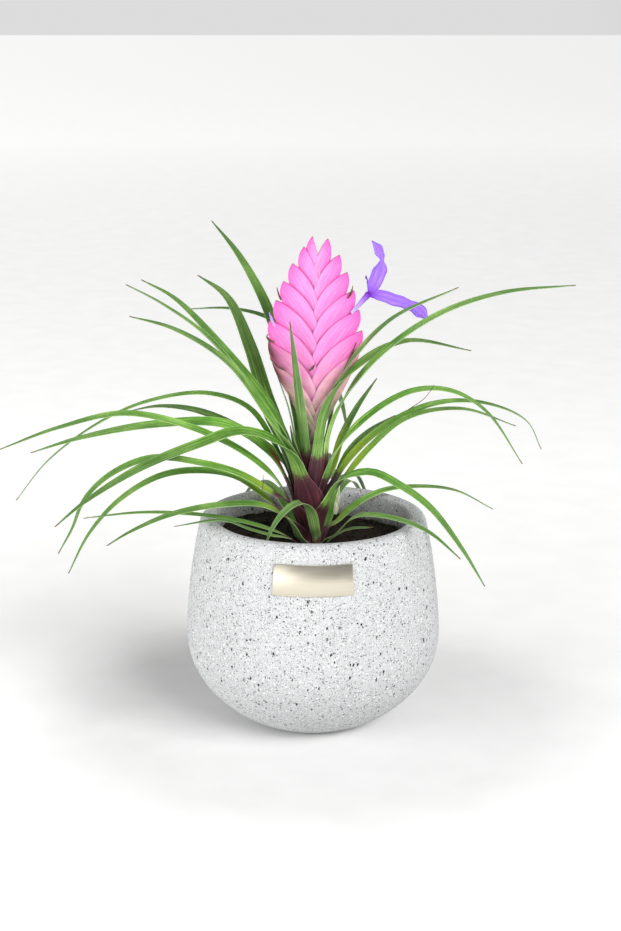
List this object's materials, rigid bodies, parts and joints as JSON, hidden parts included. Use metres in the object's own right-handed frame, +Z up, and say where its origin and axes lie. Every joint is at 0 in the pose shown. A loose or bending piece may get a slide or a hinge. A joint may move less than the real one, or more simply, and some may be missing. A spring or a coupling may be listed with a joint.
{
  "type": "potted tillandsia",
  "caption": "Tillandsia with a flat pink flower spike, an open violet flower and arching grass-like leaves, in a round grey cast-stone pot with a bare name plate.",
  "frame": {"origin": "centre of the pot's base, on the ground", "axes": "+Z up, -Y towards the side with the name plate, +X to the right as seen from that side"},
  "size_m": [0.3072, 0.1772, 0.2693],
  "materials": {
    "pot": "matt pale grey cast stone with fine dark and white grains",
    "soil": "dark crumbly potting soil",
    "name_plate": "pale champagne metal, satin, left bare",
    "stem": "brown fibrous plant stem",
    "scape": "green flower stalk with clasping bracts",
    "flower_spike": "smooth waxy pink bracts",
    "corolla": "soft violet petals",
    "leaf": "smooth leathery green leaf with a maroon sheath"
  },
  "bodies": {
    "root": {"pot": "pot", "soil": "soil", "name_plate": "name_plate", "stem": "stem", "scape": "scape", "flower_spike": "flower_spike", "corolla": "corolla", "leaf_01": "leaf", "leaf_02": "leaf", "leaf_03": "leaf", "leaf_04": "leaf", "leaf_05": "leaf", "leaf_06": "leaf", "leaf_07": "leaf", "leaf_08": "leaf", "leaf_09": "leaf", "leaf_10": "leaf", "leaf_11": "leaf", "leaf_12": "leaf", "leaf_13": "leaf", "leaf_14": "leaf", "leaf_15": "leaf", "leaf_16": "leaf", "leaf_17": "leaf", "leaf_18": "leaf", "leaf_19": "leaf", "leaf_20": "leaf", "leaf_21": "leaf", "leaf_22": "leaf", "leaf_23": "leaf", "leaf_24": "leaf", "leaf_25": "leaf", "leaf_26": "leaf", "leaf_27": "leaf", "leaf_28": "leaf", "leaf_29": "leaf", "leaf_30": "leaf", "leaf_31": "leaf", "leaf_32": "leaf", "leaf_33": "leaf", "leaf_34": "leaf", "leaf_35": "leaf", "leaf_36": "leaf", "leaf_37": "leaf", "leaf_38": "leaf", "leaf_39": "leaf", "leaf_40": "leaf", "leaf_41": "leaf", "leaf_42": "leaf", "leaf_43": "leaf"}
  },
  "joints": []
}
